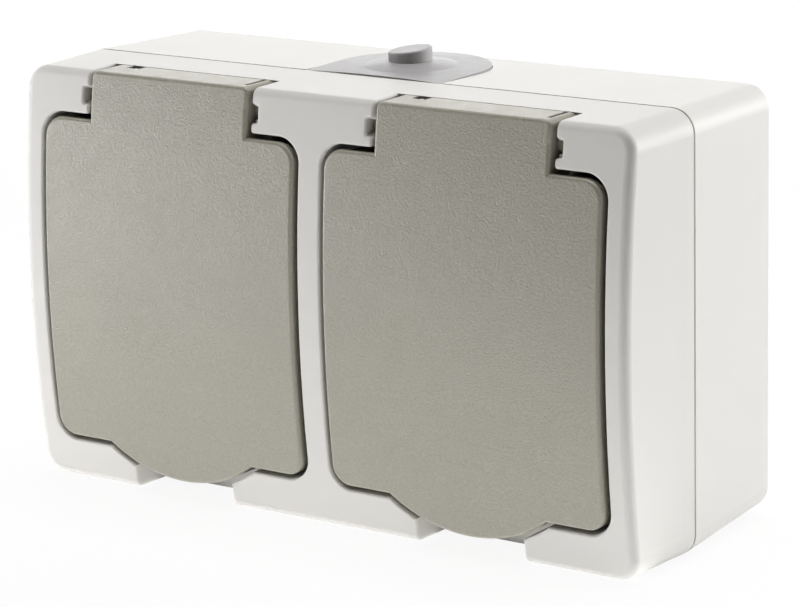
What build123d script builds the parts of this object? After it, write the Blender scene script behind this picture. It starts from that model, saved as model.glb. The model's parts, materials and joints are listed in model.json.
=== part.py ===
from build123d import *

# Two-gang surface-mounted mains socket with sprung lids, as the pieces that it comes apart into.
# Sizes are in millimetres. X runs to the right, Y into the wall and Z up.
# The origin is the middle of the wall face. A height is a distance out from the wall, along -Y,
# and a level is a distance along Z from the middle of the sockets.
import os
from math import asin, cos, hypot, radians, sin, sqrt, tan

# Casing
gang_pitch = 71.0
mullion_width = 5.4
side_frame = 5.7
case_height = 88.0
corner_radius = 4.8
case_wall = 2.4
box_drafts = {"side": 2.6, "top": 1.0, "bottom": 2.6}
cover_drafts = {"side": 2.2, "top": 1.0, "bottom": 1.0}

# Rear box
box_depth = 31.3
back_wall = 2.5
back_edge_round = 0.6
seam_gap = 0.6
seam_inset = 0.5
wall_hole_radius = 2.25
wall_hole_inset = 12.0
wall_boss_radius = 5.0
wall_boss = 2.0

# Front cover, whose front is a shallow barrel about a horizontal line
cover_depth = 23.5
crown_radius = 280.0
front_round = 1.8

# Lid pockets in the cover
pocket_depth = 13.5
pocket_floor = 2.2
pocket_wall = 3.4
slot_wall = 3.0
finger_half_width = 12.5
finger_round = 1.2
pocket_round = 0.5

# Lids
lid_gap = 1.0
lid_proud = 0.5
lid_foot_rise = 9.8
lid_corner = 4.2
lip_half_width = 18.25
lip_drop = 6.1
lid_panel = 2.2
lid_rim = 1.8
lid_depth = 9.5
lid_edge_round = 0.8

# Lid hinges
hinge_depth = 6.7
hinge_drop = 5.4
shoulder_drop = 4.8
swing_gap = 0.3
tab_half_width = 20.0
tab_radius = 7.0
tab_sink = 0.2
tab_corner = 1.4
tab_gap = 0.9
tab_channel_radius = 4.4
tab_end_wall = 2.8
stub_radius = 1.6
stub_length = 2.2
stub_end_gap = 0.2
bearing_clearance = 0.05
notch_height = 3.6
notch_round = 0.6
lug_round = 0.6
neck_height = 2.8
neck_length = 2.6

# Slit and spring window in the top of a lid's hinge tab
slit_width = 1.0
slit_offset = 18.0
slit_depth = 4.2
slit_land = 1.6
window_offset = -14.25
window_width = 3.3
window_behind_hinge = 2.2

# Lid springs and seals
spring_wire = 1.0
spring_pitch = 0.9
spring_turns = 8
spring_clearance = 0.3
lid_leg_sink = 0.3
seal_width = 3.2
seal_inset = 0.2
seal_thickness = 2.0
seal_gap = 0.3

# Socket inserts
well_radius = 19.75
well_depth = 17.5
well_mouth_chamfer = 0.8
cup_wall = 1.8
cup_floor = 2.2
cup_fit = 0.2
collar_radius = 24.8
collar_rise = 5.5
flange_radius = 27.5
flange_thickness = 2.0
pin_spacing = 19.0
pin_hole_radius = 2.6
key_width = 5.0
key_depth = 2.3
key_length = 14.0

# Contact bases
base_seat = 2.0
base_half_width = 19.5
base_half_height = 15.0
base_core_half_width = 13.3
base_corner = 2.0
base_plate = 3.0
chamber_inner = 5.0
chamber_half_height = 5.5
ear_offset = 13.0
ear_level = 18.5
ear_radius = 4.5
ear_thickness = 4.0

# Line and neutral contacts
leaf_gap = 5.2
leaf_thickness = 0.8
leaf_half_width = 4.0
leaf_sink = 1.4
terminal_width = 5.4
terminal_rise = 8.0
wire_rise = 3.6

# Earth straps
strap_thickness = 1.0
strap_gap = 0.4
strap_half_width = 4.0
arm_width = 5.0
arm_thickness = 0.8
arm_inset = 1.75
arm_bow = 2.0
arm_rise = 11.0
arm_slot_gap = 0.8
earth_terminal_size = 6.4
earth_terminal_gap = 0.35

# Screws
screw_radius = 1.45
screw_clearance = 0.05
screw_head_radius = 2.6
screw_head = 2.2
screw_slot_width = 0.8
screw_slot_depth = 0.9
centre_head_radius = 3.0
centre_screw_length = 14.0
base_screw_bite = 1.0

# Link wires between the gangs
wire_radius = 1.25
wire_clearance = 0.1
link_clearance = 6.0
link_bend = 12.5

# Cable grommet, slid into the top of the rear box from the seam
grommet_offset = 13.3
grommet_radius = 16.5
grommet_gap = 0.15
grommet_recess = 1.3
grommet_proud = 0.1
grommet_crown = 0.4
grommet_neck_radius = 12.0
grommet_inner_lip = 1.8
grommet_inner_flange = 1.2
dome_radius = 10.7
dome_rise = 1.4
nipple_radius = 4.45
nipple_rise = 3.5
nipple_slant = 7.0
nipple_turn = 35.0
nipple_round = 0.4
membrane = 1.2

# Worked out from the sizes above: the casing, across and up
gangs = {"left": -gang_pitch / 2, "right": gang_pitch / 2}
lid_half_width = (gang_pitch - mullion_width) / 2 - lid_gap
case_width = gang_pitch + 2 * (lid_half_width + lid_gap + side_frame)
case_top = case_height / 2
hinge_level = case_top - hinge_drop
tab_top = case_top - tab_sink
lid_top = hinge_level - shoulder_drop
lid_foot = lid_foot_rise - case_top
lip_radius = (lip_half_width**2 + lip_drop**2) / (2 * lip_drop)
lip_level = lid_foot - lip_drop + lip_radius
pocket_top = lid_top + lid_gap
tab_slot_half = tab_half_width + tab_gap
stub_half = tab_half_width + stub_length
bearing_half = stub_half + stub_end_gap
bearing_radius = stub_radius + bearing_clearance
trough_radius = tab_radius + swing_gap
wall_hole_spacing = case_width - 2 * wall_hole_inset
wall_hole_rise = case_height - 2 * wall_hole_inset

# Worked out from the sizes above: the heights, from the wall to the front
base_low = back_wall + base_seat
base_floor = base_low + base_plate
ear_top = base_low + ear_thickness
wire_height = base_floor + wire_rise
terminal_top = base_floor + terminal_rise
box_rim = box_depth - seam_gap / 2
box_ceiling = case_top - case_wall - box_depth * tan(radians(box_drafts["top"]))
cover_rim = box_depth + seam_gap / 2
crown_height = box_depth + cover_depth
pocket_floor_height = crown_height - pocket_depth
well_mouth_height = pocket_floor_height + collar_rise
well_floor_height = well_mouth_height - well_depth
cup_back_height = well_floor_height - cup_floor
strap_top = cup_back_height - strap_gap
base_top = strap_top - strap_thickness
hinge_height = crown_height - hinge_depth
neck_top = hinge_height + neck_length
lid_back_height = crown_height - lid_depth
seal_low = well_mouth_height + seal_gap
seal_high = seal_low + seal_thickness
grommet_height = box_depth - grommet_offset
far = 2 * crown_height
touching = 0.001

# Worked out from the sizes above: inserts, contacts and wires
cup_radius = well_radius + cup_wall
seal_outer_radius = collar_radius - seal_inset
seal_inner_radius = seal_outer_radius - seal_width
pin_offset = pin_spacing / 2
screw_bore = screw_radius + screw_clearance
wire_bore = wire_radius + wire_clearance
terminal_offset = base_core_half_width + terminal_width / 2
arm_level = well_radius - arm_inset
earth_terminal_level = -(cup_radius + earth_terminal_gap + screw_head_radius)
link_level = ear_level + ear_radius + link_clearance
spring_radius = tab_channel_radius - spring_clearance - spring_wire / 2


def out(height):
    """The drawing plane that faces the room at this height, with X to the right and Z up."""
    return Plane.XZ.offset(height)


def slab(drawing, low, high):
    """A drawing in X and Z, extruded from one height to another."""
    return extrude(out(low) * drawing, high - low)


def post(x, level, radius, low, high):
    """A round post that stands out from the wall."""
    return slab(Pos(x, level) * Circle(radius), low, high)


def turned(profile):
    """Pairs of radius and height, turned about the line straight out from the origin."""
    outline = Polyline(*[(radius, -height) for radius, height in profile], close=True)
    return revolve(make_face(outline), Axis.Y)


def block(left, right, low, high, bottom, top):
    """A box between two places along X, two heights and two levels."""
    size = Box(right - left, high - low, top - bottom)
    return Pos((left + right) / 2, -(low + high) / 2, (bottom + top) / 2) * size


def bar(radius, left, right, height, level):
    """A round bar along X."""
    return Pos((left + right) / 2, -height, level) * Rot(0, 90, 0) * Cylinder(radius, right - left)


def hinge_bar(radius, half_length):
    """A round bar on a lid's hinge line."""
    return bar(radius, -half_length, half_length, hinge_height, hinge_level)


def barrel(inset):
    """The space behind the cover's barrel front, or behind one set back or proud of it."""
    return bar(crown_radius - inset, -case_width, case_width, crown_height - crown_radius, 0)


def front_height(level):
    """How far out the cover's front stands at a level."""
    return crown_height - crown_radius + sqrt(crown_radius**2 - level**2)


def case_outline(inset):
    """The casing's rounded rectangle at the seam, or one set in from it."""
    size = [case_width - 2 * inset, case_height - 2 * inset]
    return RectangleRounded(*size, corner_radius - inset)


def drafted_outline(height, inset, drafts):
    """The casing's rounded rectangle at a height away from the seam, or one set in from it."""
    away = abs(height - box_depth)
    side, top, bottom = [inset + away * tan(radians(draft)) for draft in drafts.values()]
    size = [case_width - 2 * side, case_height - top - bottom]
    return Pos(0, (bottom - top) / 2) * RectangleRounded(*size, corner_radius - inset)


def drafted_block(low, high, inset, drafts):
    """A block with the casing's drafted sides, or one set in from them, between two heights."""
    return loft([out(height) * drafted_outline(height, inset, drafts) for height in (low, high)])


def cut_edges(body, cut):
    """The edges where a cut in the cover meets its barrel front."""
    edges = []
    for edge in body.edges():
        middle = edge @ 0.5
        on_front = abs(middle.Y + front_height(middle.Z)) < touching
        if on_front and cut.distance_to(middle) < touching:
            edges.append(edge)
    return edges


def edge_reach(level):
    """How far a lid keeps from its hinge line to clear the cover's front edge at a level."""
    return hypot(front_height(level) - hinge_height, hinge_level - level) + swing_gap


def lid_outline(grow):
    """The lid's rounded rectangle with the round lip at its foot, grown all round."""
    width = 2 * (lid_half_width + grow)
    height = lid_top - lid_foot + 2 * grow
    panel = Pos(0, (lid_top + lid_foot) / 2) * RectangleRounded(width, height, lid_corner + grow)
    lip = Pos(0, lip_level) * Circle(lip_radius + grow)
    below = Pos(0, lid_foot) * Rectangle(width, 4 * lip_drop)
    return panel + (lip & below)


def u_outline(radius):
    """The grommet's outline seen from above: a half round, run straight out to the box rim."""
    run = box_rim - grommet_height
    whole = Circle(radius) + Pos(0, -run) * Rectangle(2 * radius, 2 * run)
    return whole - Pos(0, -run - radius) * Rectangle(4 * radius, 2 * radius)


def from_above(drawing, bottom, top):
    """A drawing seen from above about the grommet's middle, extruded between two levels."""
    return extrude(Plane.XY.offset(bottom) * Pos(0, -grommet_height) * drawing, top - bottom)


def slot_across(x, level, top):
    """The driver slot in a screw head whose top is at a height."""
    half_slot = screw_slot_width / 2
    ends = [x - centre_head_radius, x + centre_head_radius]
    return block(*ends, top - screw_slot_depth, far, level - half_slot, level + half_slot)


def screw(x, level, seat, length):
    """A slotted pan-head screw driven towards the wall, with its head seated at a height."""
    top = seat + screw_head
    shank = [(0, seat - length), (screw_radius, seat - length), (screw_radius, seat)]
    head = [(screw_head_radius, seat), (screw_head_radius, top), (0, top)]
    return Pos(x, 0, level) * turned(shank + head) - slot_across(x, level, top)


def base_ears(x):
    """Where a contact base is screwed down, as places along X and Z."""
    return [(x - ear_offset, ear_level), (x + ear_offset, -ear_level)]


def wall_discs(radius):
    """A disc at each place where the rear box is screwed to the wall."""
    places = GridLocations(wall_hole_spacing, wall_hole_rise, 2, 2)
    return Sketch() + [place * Circle(radius) for place in places]


def make_rear_box():
    body = drafted_block(0, box_rim, 0, box_drafts)
    body = fillet(body.faces().sort_by(Axis.Y)[-1].edges(), back_edge_round)
    body -= drafted_block(back_wall, box_depth, case_wall, box_drafts)
    body += slab(wall_discs(wall_boss_radius), back_wall, back_wall + wall_boss)
    for x in gangs.values():
        for ear_x, level in base_ears(x):
            body += post(ear_x, level, ear_radius, back_wall, base_low)
            body -= post(ear_x, level, screw_bore, back_wall - base_screw_bite, base_low)
    body -= slab(wall_discs(wall_hole_radius), 0, box_rim)
    body -= from_above(u_outline(grommet_neck_radius), box_ceiling, far)
    return body - from_above(u_outline(grommet_radius + grommet_gap), case_top - grommet_recess, far)


def make_box_gasket():
    return slab(case_outline(seam_inset) - case_outline(case_wall), box_rim, cover_rim)


def cap(radius, rise):
    """A ball sunk in level ground until a cap of that radius and rise stands out."""
    ball_radius = (radius**2 + rise**2) / (2 * rise)
    return Pos(0, 0, rise - ball_radius) * Sphere(ball_radius)


def make_nipple():
    """The grommet's dome and the nipple on it, whose top is cut on the slant."""
    above = Box(far, far, far, align=(Align.CENTER, Align.CENTER, Align.MIN))
    dome = cap(dome_radius, dome_rise) & above
    stem = Cylinder(nipple_radius, 2 * nipple_rise, align=(Align.CENTER, Align.CENTER, Align.MIN))
    stem -= Pos(0, 0, nipple_rise) * Rot(0, 0, nipple_turn) * Rot(0, -nipple_slant, 0) * above
    return dome + fillet(stem.faces().sort_by(Axis.Z)[-1].edges(), nipple_round)


def make_cable_grommet():
    plate_level = case_top + grommet_proud
    plate_cap = Pos(0, -grommet_height, plate_level) * cap(grommet_radius, grommet_crown)
    body = from_above(u_outline(grommet_radius), case_top - grommet_recess, far) & plate_cap
    inner_level = box_ceiling - grommet_inner_flange
    body += from_above(u_outline(grommet_neck_radius - grommet_gap), inner_level, case_top)
    body += from_above(u_outline(grommet_neck_radius + grommet_inner_lip), inner_level, box_ceiling)
    body += Pos(0, -grommet_height, plate_level) * make_nipple()
    hollow_rise = plate_level + dome_rise - inner_level
    hollow = Cone(dome_radius - membrane, nipple_radius - membrane, hollow_rise)
    return body - Pos(0, -grommet_height, inner_level + hollow_rise / 2) * hollow


def flare(half_width, level, radius):
    """What rounds off the two corners where a slot's lower end opens out at a level."""
    half = half_width + radius
    strip = Pos(0, level + radius / 2) * Rectangle(2 * half, radius)
    for corner in (-half, half):
        strip -= Pos(corner, level + radius) * Circle(radius)
    return strip


def make_tab_slot():
    """The way in for a lid's hinge tab, with the notches that its stubs snap in through."""
    rise = far - pocket_top
    slot = Pos(0, pocket_top + rise / 2) * Rectangle(2 * tab_slot_half, rise)
    mouth = slot + Pos(0, hinge_level) * Rectangle(2 * bearing_half, notch_height)
    beside = [corner for corner in mouth.vertices() if abs(corner.Y - hinge_level) < notch_height]
    mouth = fillet(beside, notch_round)
    neck_levels = [hinge_level - neck_height / 2, hinge_level + neck_height / 2]
    cut = slab(slot, hinge_height, far) + slab(mouth, neck_top, far)
    cut += slab(flare(tab_slot_half, pocket_top, lug_round), hinge_height, far)
    cut += hinge_bar(trough_radius, tab_slot_half) + hinge_bar(bearing_radius, bearing_half)
    return cut + block(-bearing_half, bearing_half, hinge_height, neck_top, *neck_levels)


def make_finger_notch():
    """The cut under a lid's lip, open at the bottom, with its bottom corners rounded."""
    notch = Pos(0, lid_foot - case_top / 2) * Rectangle(2 * finger_half_width, case_top)
    notch += flare(finger_half_width, -case_top, finger_round)
    return slab(notch, pocket_floor_height, far)


def make_pocket():
    """The hollow that a lid shuts into."""
    hollow = slab(lid_outline(lid_gap), pocket_floor_height, far)
    return hollow + make_tab_slot() + make_finger_notch()


def make_pocket_shell():
    """What the cover keeps solid around a lid's pocket."""
    low = pocket_floor_height - pocket_floor
    slot_half = tab_slot_half + slot_wall
    finger_half = finger_half_width + slot_wall
    shell = slab(lid_outline(lid_gap + pocket_wall), low, far)
    shell += hinge_bar(trough_radius + pocket_floor, slot_half)
    shell += block(-slot_half, slot_half, hinge_height, far, lid_top, case_top)
    return shell + block(-finger_half, finger_half, low, far, -case_top, lid_foot)


def pocket_edge_round():
    """The round of the pockets' front edges, at most half of how deep the stub notches are there."""
    notch_depth = front_height(hinge_level + notch_height / 2) - neck_top
    return min(pocket_round, notch_depth / 2)


def make_front_cover():
    body = drafted_block(cover_rim, far, 0, cover_drafts) & barrel(0)
    body = fillet(body.faces().sort_by(Axis.Y)[0].edges(), front_round)
    cavity = drafted_block(cover_rim, far, case_wall, cover_drafts) & barrel(case_wall)
    for x in gangs.values():
        cavity -= Pos(x) * make_pocket_shell()
    body -= cavity
    for x in gangs.values():
        pocket = Pos(x) * make_pocket()
        body = fillet(cut_edges(body - pocket, pocket), pocket_edge_round())
        body -= post(x, 0, cup_radius + cup_fit, cover_rim, far)
    return body


def make_swing_relief():
    """The room round a lid's hinge line for the cover's edge, wider at the pocket's round corners."""
    corner = lid_corner + lid_gap
    middle = lid_half_width - lid_corner
    turn = asin(lid_corner / corner)
    along = [(middle + corner * sin(angle), edge_reach(pocket_top - corner * (1 - cos(angle))))
             for angle in (0, turn / 2, turn)]
    side, reach = along[-1]
    edge = Polyline((side, reach), (side, 0), (0, 0), (0, along[0][1]), along[0])
    half = revolve(make_face(edge + ThreePointArc(*along)), Axis.X)
    return Pos(0, -hinge_height, hinge_level) * (half + mirror(half, Plane.YZ))


def make_lid():
    panel = slab(lid_outline(0), lid_back_height, far) - make_swing_relief()
    tab_foot = lid_top - lid_corner
    tab = hinge_bar(tab_radius, tab_half_width)
    tab += block(-tab_half_width, tab_half_width, hinge_height, far, tab_foot, far)
    tab_front = RectangleRounded(2 * tab_half_width, tab_top - tab_foot, tab_corner)
    tab &= slab(Pos(0, (tab_foot + tab_top) / 2) * tab_front, 0, far)
    body = (panel + tab) & barrel(-lid_proud)
    body = fillet(body.faces().sort_by(Axis.Y)[0].edges(), lid_edge_round)
    hollow_top = hinge_level - tab_radius
    hollow = slab(lid_outline(-lid_rim), 0, far) & barrel(lid_panel - lid_proud)
    body -= hollow - block(-far, far, 0, far, hollow_top, far)
    channel_half = tab_half_width - tab_end_wall
    body -= hinge_bar(tab_channel_radius, channel_half)
    body -= block(-channel_half, channel_half, 0, hinge_height, tab_foot, hinge_level)
    window = [window_offset - window_width / 2, window_offset + window_width / 2]
    body -= block(*window, 0, hinge_height - window_behind_hinge, hinge_level, far)
    slit = [slit_offset - slit_width / 2, slit_offset + slit_width / 2]
    slit_front = front_height(tab_top) - slit_land
    body -= block(*slit, 0, slit_front, tab_top - slit_depth, far)
    body += hinge_bar(stub_radius, stub_half) - hinge_bar(tab_radius, channel_half)
    ring = Circle(seal_outer_radius) - Circle(seal_inner_radius)
    return body + (slab(ring, seal_high, far) & barrel(lid_panel / 2))


def make_lid_seal():
    return slab(Circle(seal_outer_radius) - Circle(seal_inner_radius), seal_low, seal_high)


def make_lid_spring():
    """A close-wound torsion spring, turned as one body with a ridge for each turn.

    One leg stands in the tab's window and the other bears on the trough behind the tab.
    """
    wire = spring_wire / 2
    turns = Sketch()
    for turn in range(spring_turns):
        turns += Pos(turn * spring_pitch, spring_radius) * Circle(wire)
    spring = revolve(turns, Axis.X)
    lid_leg = tab_top - lid_leg_sink - hinge_level
    trough_leg = sqrt((trough_radius - spring_clearance) ** 2 - (spring_radius + wire) ** 2)
    spring += Pos(0, spring_radius, lid_leg / 2) * Cylinder(wire, lid_leg)
    last_turn = (spring_turns - 1) * spring_pitch
    spring += Pos(last_turn, spring_radius, -trough_leg / 2) * Cylinder(wire, trough_leg)
    return Pos(window_offset, -hinge_height, hinge_level) * spring


def make_socket_cup():
    flange_top = pocket_floor_height + flange_thickness
    back = [(0, cup_back_height), (cup_radius, cup_back_height), (cup_radius, pocket_floor_height)]
    flange = [(flange_radius, pocket_floor_height), (flange_radius, flange_top)]
    collar = [(collar_radius, flange_top), (collar_radius, well_mouth_height)]
    mouth = [(well_radius + well_mouth_chamfer, well_mouth_height)]
    well = [(well_radius, well_mouth_height - well_mouth_chamfer), (well_radius, well_floor_height)]
    cup = turned(back + flange + collar + mouth + well + [(0, well_floor_height)])
    key_levels = [-key_width / 2, key_width / 2]
    slot_reach = arm_thickness / 2 + arm_slot_gap
    slot_half = arm_width / 2 + arm_slot_gap
    for side in (-1, 1):
        key = sorted([side * (well_radius - key_depth), side * (well_radius + cup_wall / 2)])
        cup += block(*key, well_floor_height, well_floor_height + key_length, *key_levels)
        slot = sorted([side * (arm_level - slot_reach), side * (arm_level + slot_reach)])
        cup -= block(-slot_half, slot_half, 0, well_floor_height, *slot)
        cup -= post(side * pin_offset, 0, pin_hole_radius, 0, far)
    sink_low = well_floor_height - screw_head
    sink = [(centre_head_radius + screw_clearance, well_floor_height), (0, well_floor_height)]
    return cup - turned([(0, 0), (screw_bore, 0), (screw_bore, sink_low)] + sink)


def make_contact_base():
    plate = RectangleRounded(2 * base_half_width, 2 * base_half_height, base_corner)
    core = RectangleRounded(2 * base_core_half_width, 2 * base_half_height, base_corner)
    base = slab(plate, base_low, base_floor) + slab(core, base_low, base_top)
    for ear_x, level in base_ears(0):
        web = [ear_x - ear_radius, ear_x + ear_radius, base_low, base_floor]
        base += block(*web, *sorted([0, level])) + post(ear_x, level, ear_radius, base_low, ear_top)
        base -= post(ear_x, level, screw_bore, base_low, ear_top)
    for side in (-1, 1):
        chamber = sorted([side * chamber_inner, side * base_half_width])
        base -= block(*chamber, base_floor, base_top, -chamber_half_height, chamber_half_height)
    return base - post(0, 0, screw_bore, base_floor, base_top)


def make_contact(side):
    """A brass clip for one plug pin, with the terminal that its wire goes into."""
    near = pin_offset - leaf_half_width
    half_gap = leaf_gap / 2
    half_rise = half_gap + leaf_thickness
    leaf_top = base_top - leaf_sink
    web = base_core_half_width - leaf_thickness
    terminal = [base_core_half_width, base_core_half_width + terminal_width]
    clip = block(near, base_core_half_width, base_floor, leaf_top, -half_rise, half_rise)
    clip -= block(near, web, base_floor, leaf_top, -half_gap, half_gap)
    clip += block(*terminal, base_floor, terminal_top, -half_rise, half_rise)
    clip -= post(terminal_offset, 0, screw_bore, wire_height, terminal_top)
    clip -= Pos(terminal_offset, -wire_height, 0) * Cylinder(wire_bore, 2 * half_rise)
    return clip if side > 0 else mirror(clip, Plane.YZ)


def make_earth_strap():
    half = strap_half_width
    terminal_half = earth_terminal_size / 2
    wire_line = base_top - terminal_half
    terminal = [earth_terminal_level - terminal_half, earth_terminal_level + terminal_half]
    strap = block(-half, half, base_top, strap_top, terminal[0], arm_level + arm_thickness / 2)
    strap += block(-half, half, base_top - earth_terminal_size, base_top, *terminal)
    strap -= post(0, 0, screw_bore, base_top, strap_top)
    strap -= post(0, earth_terminal_level, screw_bore, wire_line, strap_top)
    strap -= bar(wire_bore, -half, half, wire_line, earth_terminal_level)
    foot = [(base_top, arm_level), (well_floor_height, arm_level)]
    bow = [(well_floor_height + arm_rise / 2, arm_level - arm_bow), (well_floor_height + arm_rise, arm_level)]
    arm = trace(Polyline(*[(-height, level) for height, level in foot + bow]), arm_thickness)
    arm = extrude(Plane.YZ * arm, arm_width / 2, both=True)
    return strap + arm + mirror(arm, Plane.XY)


def make_terminal_screws():
    length = terminal_top - wire_height - wire_radius
    earth_length = strap_thickness + earth_terminal_size / 2 - wire_radius
    screws = [screw(side * terminal_offset, 0, terminal_top, length) for side in (-1, 1)]
    screws.append(screw(0, earth_terminal_level, strap_top, earth_length))
    return screws


def make_centre_screw():
    neck = well_floor_height - screw_head
    tip = neck - centre_screw_length
    head = [(centre_head_radius, well_floor_height), (0, well_floor_height)]
    body = turned([(0, tip), (screw_radius, tip), (screw_radius, neck)] + head)
    return body - slot_across(0, 0, well_floor_height)


def make_base_screws():
    length = ear_top - back_wall
    return [screw(*ear, ear_top, length) for x in gangs.values() for ear in base_ears(x)]


def make_link(side):
    """A wire from one gang's terminal to the other's, bent round above or below the bases."""
    first, last = [x + side * terminal_offset for x in gangs.values()]
    level = side * link_level
    corners = [(first, 0), (first, level), (last, level), (last, 0)]
    path = out(wire_height) * FilletPolyline(*corners, radius=link_bend)
    return sweep(Plane(origin=path @ 0, z_dir=path % 0) * Circle(wire_radius), path=path)


def make_earth_link():
    height = base_top - earth_terminal_size / 2
    return bar(wire_radius, *gangs.values(), height, earth_terminal_level)


pieces = {
    "rear_box": make_rear_box(),
    "box_gasket": make_box_gasket(),
    "cable_grommet": make_cable_grommet(),
    "front_cover": make_front_cover(),
    "base_screws": Compound(children=make_base_screws()),
    "line_link": make_link(-1),
    "neutral_link": make_link(1),
    "earth_link": make_earth_link(),
}
for gang, x in gangs.items():
    pieces[f"lid_{gang}"] = Pos(x) * make_lid()
    pieces[f"lid_seal_{gang}"] = Pos(x) * make_lid_seal()
    pieces[f"lid_spring_{gang}"] = Pos(x) * make_lid_spring()
    pieces[f"socket_cup_{gang}"] = Pos(x) * make_socket_cup()
    pieces[f"contact_base_{gang}"] = Pos(x) * make_contact_base()
    pieces[f"line_contact_{gang}"] = Pos(x) * make_contact(-1)
    pieces[f"neutral_contact_{gang}"] = Pos(x) * make_contact(1)
    pieces[f"earth_strap_{gang}"] = Pos(x) * make_earth_strap()
    pieces[f"terminal_screws_{gang}"] = Compound(children=[Pos(x) * s for s in make_terminal_screws()])
    pieces[f"centre_screw_{gang}"] = Pos(x) * make_centre_screw()

os.makedirs("parts", exist_ok=True)
for name, piece in pieces.items():
    export_step(piece, f"parts/{name}.step")
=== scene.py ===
"""Looks for a surface-mounted double socket with sprung lids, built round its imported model."""

import json
import math

import bpy
from mathutils import Matrix, Vector


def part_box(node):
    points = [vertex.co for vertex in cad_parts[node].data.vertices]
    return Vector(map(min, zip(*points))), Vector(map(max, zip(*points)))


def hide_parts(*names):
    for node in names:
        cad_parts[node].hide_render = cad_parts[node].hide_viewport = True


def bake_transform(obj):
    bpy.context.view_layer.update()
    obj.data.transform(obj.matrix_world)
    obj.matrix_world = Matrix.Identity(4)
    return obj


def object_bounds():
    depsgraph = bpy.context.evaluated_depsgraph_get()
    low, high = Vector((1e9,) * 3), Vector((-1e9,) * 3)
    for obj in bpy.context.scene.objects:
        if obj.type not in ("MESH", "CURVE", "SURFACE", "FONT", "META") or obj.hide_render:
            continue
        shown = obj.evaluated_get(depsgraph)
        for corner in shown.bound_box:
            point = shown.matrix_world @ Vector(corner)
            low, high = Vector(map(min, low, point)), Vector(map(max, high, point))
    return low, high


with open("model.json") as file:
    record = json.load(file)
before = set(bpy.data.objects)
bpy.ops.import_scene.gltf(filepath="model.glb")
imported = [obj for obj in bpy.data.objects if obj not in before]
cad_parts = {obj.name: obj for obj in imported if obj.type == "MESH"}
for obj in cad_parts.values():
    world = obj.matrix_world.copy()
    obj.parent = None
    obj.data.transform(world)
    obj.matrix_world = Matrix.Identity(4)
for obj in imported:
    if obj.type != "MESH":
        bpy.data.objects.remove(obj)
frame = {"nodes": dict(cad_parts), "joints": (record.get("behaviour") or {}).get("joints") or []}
first_low, first_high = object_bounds()
nodes = frame["nodes"]
hinges = {joint["name"]: Vector(joint["pos_m"]) for joint in frame["joints"]}

MM = 0.001
GANGS = ("left", "right")

# Camera, fitted to the photograph: eye and clip distances in metres, angles in degrees
EYE = Vector((0.3919, -0.5737, 0.1648))
YAW = 35.47
PITCH = 14.05
ROLL = -1.37
LENS_MM = 153.5
SENSOR_MM = 36.0
CLIP_NEAR = 0.05
CLIP_FAR = 20

# Colours of the materials, linear red, green and blue
CASING_WHITE = (0.80, 0.783, 0.752)
LID_GREY = (0.325, 0.307, 0.245)
INSERT_WHITE = (0.74, 0.74, 0.72)
BASE_GREY = (0.30, 0.31, 0.32)
GROMMET_GREY = (0.41, 0.40, 0.40)
GASKET_OLIVE = (0.42, 0.40, 0.30)
SEAL_BLACK = (0.03, 0.03, 0.03)
BRASS = (0.72, 0.52, 0.22)
STRAP_BRASS = (0.66, 0.50, 0.26)
ZINC = (0.62, 0.63, 0.64)
SPRING_STEEL = (0.50, 0.50, 0.51)
WIRE_BROWN = (0.10, 0.045, 0.022)
WIRE_BLUE = (0.03, 0.10, 0.36)
WIRE_GREEN = (0.05, 0.26, 0.06)
FLOOR_WHITE = (0.90, 0.90, 0.90)
FLOOR_FAR_GREY = (0.12, 0.12, 0.12)
# Colour of the painted shade in narrow gaps
GAP_SHADE_COLOUR = (0.02, 0.02, 0.015)

# Noise: the middle of its range, which is the part used, and its finer layers
NOISE_LOW = 0.3
NOISE_HIGH = 0.7
NOISE_DETAIL = 2.0

# Moulded plastic and rubber: patches of colour and of sheen, and the grain's finer layers
COLOUR_PATCH = 22 * MM
SHEEN_PATCH = 3 * MM
GRAIN_DETAIL = 1.0

# Metal: patches of colour, and the lines that drawing and stamping leave
METAL_PATCH = 3 * MM
METAL_CHANGE = 0.08
LINE_SIZE = 0.4 * MM
LINE_DEPTH = 0.004 * MM
LINE_SMOOTHER = 0.06
LINE_ROUGHER = 0.08

# Painted shade in narrow gaps: shut and open are how much of its surroundings a point sees
GAP_REACH = 6 * MM
GAP_SHUT = 0.02
GAP_OPEN = 0.22
GAP_SAMPLES = 8

# Lid springs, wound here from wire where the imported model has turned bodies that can't twist
SPRING_WIRE = 0.8 * MM
SPRING_TURNS = 7
STEPS_PER_TURN = 24
WIRE_SIDES = 10

# Floor: white near the object, grey far off, and the share of its own shading that is seen near by
FLOOR_HALF = 4.0
FLOOR_NEAR = 0.16
FLOOR_FAR = 0.55
FLOOR_SHADOW_SHARE = 0.12
FIBRE_SIZE = 0.8 * MM
FIBRE_CHANGE = 0.004
FLOOR_SMOOTHEST = 0.75
FLOOR_ROUGHEST = 0.85

# World: faint light from behind and above. Starts and ends are cosines of the angle from its bright side
WORLD_BRIGHT_SIDE = Vector((0.15, 0.85, 0.50)).normalized()
WORLD_DIM = 0.0
WORLD_BRIGHT = 0.02
WORLD_START = -0.3
WORLD_END = 0.8
BACKDROP_START = -0.2
BACKDROP_END = 0.2

# White of the floor and the backdrop, as the camera sees it
WHITE_LEVEL = 1.03

# Lamps: the points that they look at, and how far those on the floor stand clear of it
ORIGIN = (0, 0, 0)
LEFT_LID_FACE = (-0.05, -0.05, 0)
TABLE_RISE = 0.1 * MM


def start_material(name):
    """A new material with its tree, its surface shader and the place on the piece."""
    material = bpy.data.materials.new(name)
    material.use_nodes = True
    tree = material.node_tree
    surface = tree.nodes["Principled BSDF"]
    place = tree.nodes.new("ShaderNodeTexCoord").outputs["Object"]
    return material, tree, surface, place


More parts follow.
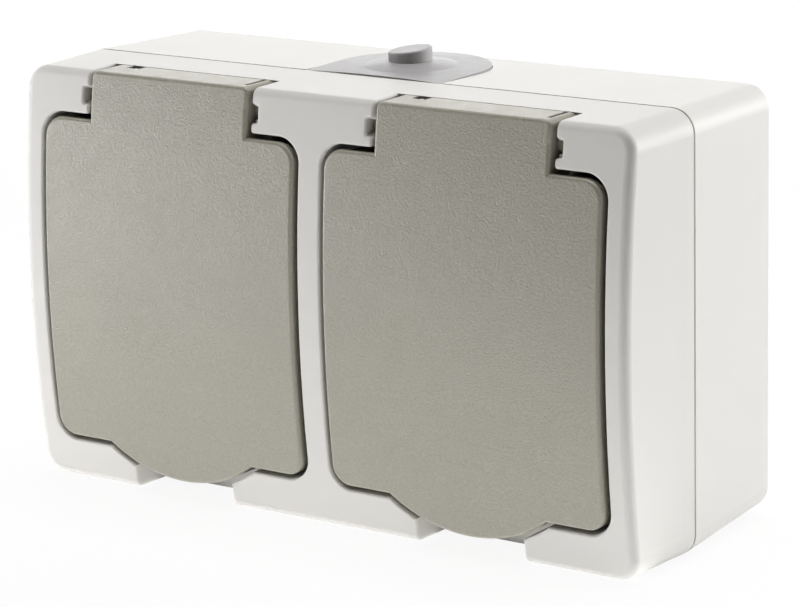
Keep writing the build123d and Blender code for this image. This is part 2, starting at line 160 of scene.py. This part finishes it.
def feed(tree, value, socket):
    """Links another node's output to a socket, or sets the socket to a plain number or colour."""
    if isinstance(value, bpy.types.NodeSocket):
        tree.links.new(value, socket)
    else:
        socket.default_value = value


def noise(tree, place, feature, detail=NOISE_DETAIL):
    """Noise with features about that many metres across."""
    texture = tree.nodes.new("ShaderNodeTexNoise")
    texture.inputs["Scale"].default_value = 1 / feature
    texture.inputs["Detail"].default_value = detail
    tree.links.new(place, texture.inputs["Vector"])
    return texture.outputs["Fac"]


def carry(tree, value, low, high, to_low, to_high, way="SMOOTHSTEP"):
    """A value's stretch from low to high, carried to another stretch and held at its ends."""
    node = tree.nodes.new("ShaderNodeMapRange")
    node.interpolation_type = way
    node.inputs["From Min"].default_value = low
    node.inputs["From Max"].default_value = high
    node.inputs["To Min"].default_value = to_low
    node.inputs["To Max"].default_value = to_high
    tree.links.new(value, node.inputs["Value"])
    return node.outputs["Result"]


def spread(tree, factor, low, high):
    """The middle of a noise's range, spread evenly from low to high."""
    return carry(tree, factor, NOISE_LOW, NOISE_HIGH, low, high, "LINEAR")


def combine(tree, operation, first, second):
    """Two values joined by a product, the larger one or the like."""
    node = tree.nodes.new("ShaderNodeMath")
    node.operation = operation
    tree.links.new(first, node.inputs[0])
    tree.links.new(second, node.inputs[1])
    return node.outputs["Value"]


def mix(tree, factor, first, second, blend="MIX"):
    """Two colours mixed by a factor, or multiplied where the blend says so."""
    node = tree.nodes.new("ShaderNodeMix")
    node.data_type = "RGBA"
    node.blend_type = blend
    feed(tree, factor, node.inputs["Factor"])
    feed(tree, first, node.inputs["A"])
    feed(tree, second, node.inputs["B"])
    return node.outputs["Result"]


def shade(colour, factor=1.0):
    """The colour made lighter or darker, with its alpha."""
    return tuple(channel * factor for channel in colour) + (1.0,)


def mottle(tree, factor, colour, change):
    """The colour, varied by a noise to both sides by that share."""
    return mix(tree, spread(tree, factor, 0, 1), shade(colour, 1 - change), shade(colour, 1 + change))


def bump(tree, height, depth):
    """A bump of that depth in metres."""
    node = tree.nodes.new("ShaderNodeBump")
    node.inputs["Distance"].default_value = depth
    tree.links.new(height, node.inputs["Height"])
    return node.outputs["Normal"]


def paint_pit_shade(tree, grain, colour, pit_shade_share):
    """The colour with painted shade in the grain's pits and a painted highlight on its tops, by that share.
    """
    return mix(tree, 1.0, colour, spread(tree, grain, 1 - pit_shade_share, 1 + pit_shade_share), "MULTIPLY")


def paint_gap_shade(tree, colour, gap_shade_share):
    """The colour with painted shade of that share where the surface lies deep in a narrow gap."""
    shelter = tree.nodes.new("ShaderNodeAmbientOcclusion")
    shelter.samples = GAP_SAMPLES
    shelter.inputs["Distance"].default_value = GAP_REACH
    kept = carry(tree, shelter.outputs["AO"], GAP_SHUT, GAP_OPEN, 1 - gap_shade_share, 1)
    return mix(tree, kept, shade(GAP_SHADE_COLOUR), colour)


def moulded(name, colour, roughness, grain, depth, change=0.02, uneven=0.04, pit_shade_share=0.0, gloss=0.5,
            gap_shade_share=0.0):
    """Moulded plastic or rubber: a grain of that size and depth, slow colour changes, an uneven sheen."""
    material, tree, surface, place = start_material(name)
    height = noise(tree, place, grain, GRAIN_DETAIL)
    tone = mottle(tree, noise(tree, place, COLOUR_PATCH), colour, change)
    # Painted shade in the grain's pits and a painted highlight on its tops
    if pit_shade_share:
        tone = paint_pit_shade(tree, height, tone, pit_shade_share)
    # Painted shade where the surface lies deep in a narrow gap
    if gap_shade_share:
        tone = paint_gap_shade(tree, tone, gap_shade_share)
    sheen = spread(tree, noise(tree, place, SHEEN_PATCH), roughness - uneven, roughness + uneven)
    surface.inputs["Specular IOR Level"].default_value = gloss
    tree.links.new(tone, surface.inputs["Base Color"])
    tree.links.new(sheen, surface.inputs["Roughness"])
    tree.links.new(bump(tree, height, depth), surface.inputs["Normal"])
    return material


def metal(name, colour, roughness, finer):
    """Drawn or stamped metal, with lines that are so many times finer along x, y and z."""
    material, tree, surface, place = start_material(name)
    squeezed = tree.nodes.new("ShaderNodeMapping")
    squeezed.inputs["Scale"].default_value = finer
    tree.links.new(place, squeezed.inputs["Vector"])
    lines = noise(tree, squeezed.outputs["Vector"], LINE_SIZE)
    tone = mottle(tree, noise(tree, place, METAL_PATCH), colour, METAL_CHANGE)
    sheen = spread(tree, lines, roughness - LINE_SMOOTHER, roughness + LINE_ROUGHER)
    surface.inputs["Metallic"].default_value = 1.0
    tree.links.new(tone, surface.inputs["Base Color"])
    tree.links.new(sheen, surface.inputs["Roughness"])
    tree.links.new(bump(tree, lines, LINE_DEPTH), surface.inputs["Normal"])
    return material


def looked_at(tree):
    """One for what the camera, a reflection or a view through glass meets, and nought for bounced light."""
    path = tree.nodes.new("ShaderNodeLightPath").outputs
    seen = combine(tree, "MAXIMUM", path["Is Camera Ray"], path["Is Glossy Ray"])
    return combine(tree, "MAXIMUM", seen, path["Is Transmission Ray"])


def floor_material():
    """White floor that keeps the object's shadow. Far off it bounces little light but still looks white."""
    material, tree, surface, place = start_material("floor_paper")
    fibres = noise(tree, place, FIBRE_SIZE)
    length = tree.nodes.new("ShaderNodeVectorMath")
    length.operation = "LENGTH"
    tree.links.new(place, length.inputs[0])
    distance = length.outputs["Value"]
    away = carry(tree, distance, FLOOR_NEAR, FLOOR_FAR, 0, 1)
    tone = mix(tree, away, mottle(tree, fibres, FLOOR_WHITE, FIBRE_CHANGE), shade(FLOOR_FAR_GREY))
    tree.links.new(tone, surface.inputs["Base Color"])
    tree.links.new(spread(tree, fibres, FLOOR_SMOOTHEST, FLOOR_ROUGHEST), surface.inputs["Roughness"])
    white = tree.nodes.new("ShaderNodeEmission")
    white.inputs["Strength"].default_value = WHITE_LEVEL
    share = carry(tree, distance, FLOOR_NEAR, FLOOR_FAR, 1 - FLOOR_SHADOW_SHARE, 1)
    both_looks = tree.nodes.new("ShaderNodeMixShader")
    tree.links.new(combine(tree, "MULTIPLY", looked_at(tree), share), both_looks.inputs["Fac"])
    tree.links.new(surface.outputs["BSDF"], both_looks.inputs[1])
    tree.links.new(white.outputs["Emission"], both_looks.inputs[2])
    tree.links.new(both_looks.outputs["Shader"], tree.nodes["Material Output"].inputs["Surface"])
    return material


def cover_with(material, *names):
    """Puts a material on CAD nodes."""
    for name in names:
        mesh = nodes[name].data
        mesh.materials.clear()
        mesh.materials.append(material)


def both(name):
    """The left and the right node of a piece that each gang has."""
    return [f"{name}_{gang}" for gang in GANGS]


def wire(name, points, radius, material):
    """A round wire along a line of points, closed at both ends."""
    befores = [points[0]] + points[:-1]
    afters = points[1:] + [points[-1]]
    ways = [(after - before).normalized() for before, after in zip(befores, afters)]
    side = ways[0].orthogonal()
    corners = []
    for point, way in zip(points, ways):
        side = (side - way * side.dot(way)).normalized()
        across = way.cross(side)
        for step in range(WIRE_SIDES):
            angle = 2 * math.pi * step / WIRE_SIDES
            corners.append(point + radius * (side * math.cos(angle) + across * math.sin(angle)))
    around = range(WIRE_SIDES)
    last_ring = (len(points) - 1) * WIRE_SIDES
    faces = [tuple(reversed(around)), tuple(last_ring + step for step in around)]
    for ring in range(0, last_ring, WIRE_SIDES):
        for step in around:
            here = ring + step
            beside = ring + (step + 1) % WIRE_SIDES
            faces.append((here, beside, beside + WIRE_SIDES, here + WIRE_SIDES))
    mesh = bpy.data.meshes.new(name)
    mesh.from_pydata(corners, [], faces)
    mesh.shade_smooth()
    mesh.materials.append(material)
    piece = bpy.data.objects.new(name, mesh)
    bpy.context.scene.collection.objects.link(piece)
    return piece


def make_spring(gang, material):
    """A wound spring for the lid, from its casing end to its leg in the lid's window."""
    node = f"lid_spring_{gang}"
    low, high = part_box(node)
    hinge = hinges[f"lid_{gang}_hinge"]
    radius = (high.y - low.y - SPRING_WIRE) / 2
    leg_end = Vector((low.x + SPRING_WIRE / 2, hinge.y, hinge.z))
    casing_end = Vector((high.x - SPRING_WIRE / 2, hinge.y, hinge.z))
    points = [Vector((leg_end.x, hinge.y + radius, high.z))]
    steps = SPRING_TURNS * STEPS_PER_TURN
    for step in range(steps + 1):
        angle = -2 * math.pi * step / STEPS_PER_TURN
        away = Vector((0, math.cos(angle), math.sin(angle))) * radius
        points.append(leg_end.lerp(casing_end, step / steps) + away)
    piece = wire(f"wound_spring_{gang}", points, SPRING_WIRE / 2, material)
    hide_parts(node)
    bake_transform(piece)


def lamp(name, place, width, height, power, target=ORIGIN):
    """A soft rectangular lamp that looks at a point, with its sizes in metres and its power in watts."""
    light = bpy.data.lights.new(name, "AREA")
    light.shape = "RECTANGLE"
    light.size = width
    light.size_y = height
    light.energy = power
    holder = bpy.data.objects.new(name, light)
    holder.location = place
    holder.rotation_mode = "QUATERNION"
    holder.rotation_quaternion = (Vector(target) - Vector(place)).to_track_quat("-Z", "Y")
    bpy.context.scene.collection.objects.link(holder)


def table_lamp(name, x, y, width, depth, power):
    """A soft lamp that lies on the floor and shines up, as a light table does."""
    level = first_low.z + TABLE_RISE
    lamp(name, (x, y, level), width, depth, power, target=(x, y, level + 1))


def make_world():
    """A dim room, which the camera and reflections see as white on its bright side."""
    world = bpy.data.worlds.new("room")
    world.use_nodes = True
    tree = world.node_tree
    background = tree.nodes["Background"]
    background.inputs["Color"].default_value = (1, 1, 1, 1)
    way = tree.nodes.new("ShaderNodeTexCoord").outputs["Generated"]
    towards = tree.nodes.new("ShaderNodeVectorMath")
    towards.operation = "DOT_PRODUCT"
    towards.inputs[1].default_value = WORLD_BRIGHT_SIDE
    tree.links.new(way, towards.inputs[0])
    facing = towards.outputs["Value"]
    level = carry(tree, facing, WORLD_START, WORLD_END, WORLD_DIM, WORLD_BRIGHT)
    backdrop = carry(tree, facing, BACKDROP_START, BACKDROP_END, WORLD_DIM, WHITE_LEVEL)
    white = combine(tree, "MULTIPLY", looked_at(tree), backdrop)
    tree.links.new(combine(tree, "MAXIMUM", level, white), background.inputs["Strength"])
    bpy.context.scene.world = world


def make_floor():
    """A wide plain floor under the lowest point of the object."""
    level = first_low.z
    corners = [(x * FLOOR_HALF, y * FLOOR_HALF, level) for x, y in ((-1, -1), (1, -1), (1, 1), (-1, 1))]
    mesh = bpy.data.meshes.new("floor")
    mesh.from_pydata(corners, [], [(0, 1, 2, 3)])
    mesh.materials.append(floor_material())
    floor = bpy.data.objects.new("floor", mesh)
    bpy.context.scene.collection.objects.link(floor)


def make_camera():
    """The camera at the fitted place, turned by its yaw, pitch and roll."""
    yaw, pitch, roll = (math.radians(angle) for angle in (YAW, PITCH, ROLL))
    forward = Vector((-math.sin(yaw) * math.cos(pitch), math.cos(yaw) * math.cos(pitch), -math.sin(pitch)))
    level = Vector((math.cos(yaw), math.sin(yaw), 0))
    upright = level.cross(forward)
    right = level * math.cos(roll) + upright * math.sin(roll)
    up = right.cross(forward)
    turned = Matrix((right, up, -forward)).transposed()
    lens = bpy.data.cameras.new("camera")
    lens.lens = LENS_MM
    lens.sensor_width = SENSOR_MM
    lens.clip_start = CLIP_NEAR
    lens.clip_end = CLIP_FAR
    camera = bpy.data.objects.new("camera", lens)
    camera.matrix_world = Matrix.Translation(EYE) @ turned.to_4x4()
    bpy.context.scene.collection.objects.link(camera)
    bpy.context.scene.camera = camera


# Plastic and rubber
# The casing and the lids get painted shade in narrow gaps
casing = moulded("casing_plastic", CASING_WHITE, roughness=0.50, grain=0.35 * MM, depth=0.004 * MM,
                 change=0.01, uneven=0.015, gap_shade_share=0.3)
# The lids also get painted shade in their grain's pits and a painted highlight on its tops
lid_plastic = moulded("lid_plastic", LID_GREY, roughness=0.44, grain=0.40 * MM, depth=0.10 * MM,
                      pit_shade_share=0.09, gloss=1.0, gap_shade_share=1.0)
insert = moulded("insert_plastic", INSERT_WHITE, roughness=0.45, grain=0.5 * MM, depth=0.006 * MM)
base = moulded("base_plastic", BASE_GREY, roughness=0.55, grain=0.5 * MM, depth=0.01 * MM)
grommet = moulded("grommet_rubber", GROMMET_GREY, roughness=0.47, grain=0.5 * MM, depth=0.006 * MM,
                  change=0.03)
gasket = moulded("gasket_rubber", GASKET_OLIVE, roughness=0.6, grain=0.6 * MM, depth=0.01 * MM, change=0.05)
seal = moulded("seal_rubber", SEAL_BLACK, roughness=0.5, grain=0.6 * MM, depth=0.01 * MM, change=0.05)
cover_with(casing, "rear_box", "front_cover")
cover_with(lid_plastic, *both("lid"))
cover_with(insert, *both("socket_cup"))
cover_with(base, *both("contact_base"))
cover_with(grommet, "cable_grommet")
cover_with(gasket, "box_gasket")
cover_with(seal, *both("lid_seal"))

# Sheaths of the link wires
for node, name, colour in (("line_link", "wire_brown", WIRE_BROWN),
                           ("neutral_link", "wire_blue", WIRE_BLUE),
                           ("earth_link", "wire_green", WIRE_GREEN)):
    sheath = moulded(name, colour, roughness=0.4, grain=0.5 * MM, depth=0.006 * MM, change=0.05)
    cover_with(sheath, node)

# Metal
brass = metal("contact_brass", BRASS, roughness=0.30, finer=(1, 1, 8))
strap = metal("strap_brass", STRAP_BRASS, roughness=0.34, finer=(8, 1, 1))
zinc = metal("zinc_steel", ZINC, roughness=0.32, finer=(1, 6, 1))
spring = metal("spring_steel", SPRING_STEEL, roughness=0.28, finer=(1, 6, 6))
cover_with(brass, *both("line_contact"), *both("neutral_contact"))
cover_with(strap, *both("earth_strap"))
cover_with(zinc, "base_screws", *both("terminal_screws"), *both("centre_screw"))

# Pieces made here
for gang in GANGS:
    make_spring(gang, spring)

# Stage and light
make_floor()
make_world()
make_camera()
lamp("lamp_right", place=(0.80, 0.88, 0.06), width=1.0, height=0.7, power=18.2)
lamp("lamp_top", place=(0.00, 0.05, 1.20), width=0.8, height=0.6, power=9.9)
lamp("lamp_back_left", place=(-0.67, 0.94, 0.29), width=0.7, height=0.5, power=2.1)
lamp("lamp_left", place=(-0.40, -0.22, 0.02), width=0.25, height=0.12, power=0.54)
lamp("lamp_front_left", place=(-0.60, -0.45, 0.03), width=0.25, height=0.15, power=0.75,
     target=LEFT_LID_FACE)
table_lamp("table_near", x=0.0, y=-0.085, width=0.30, depth=0.08, power=0.048)
table_lamp("table_front", x=0.0, y=-0.17, width=0.40, depth=0.10, power=0.093)
table_lamp("table_left", x=-0.17, y=-0.15, width=0.16, depth=0.16, power=0.019)
table_lamp("table_far_left", x=-0.28, y=-0.28, width=0.20, depth=0.20, power=0.42)

bpy.context.scene.view_settings.view_transform = "Standard"
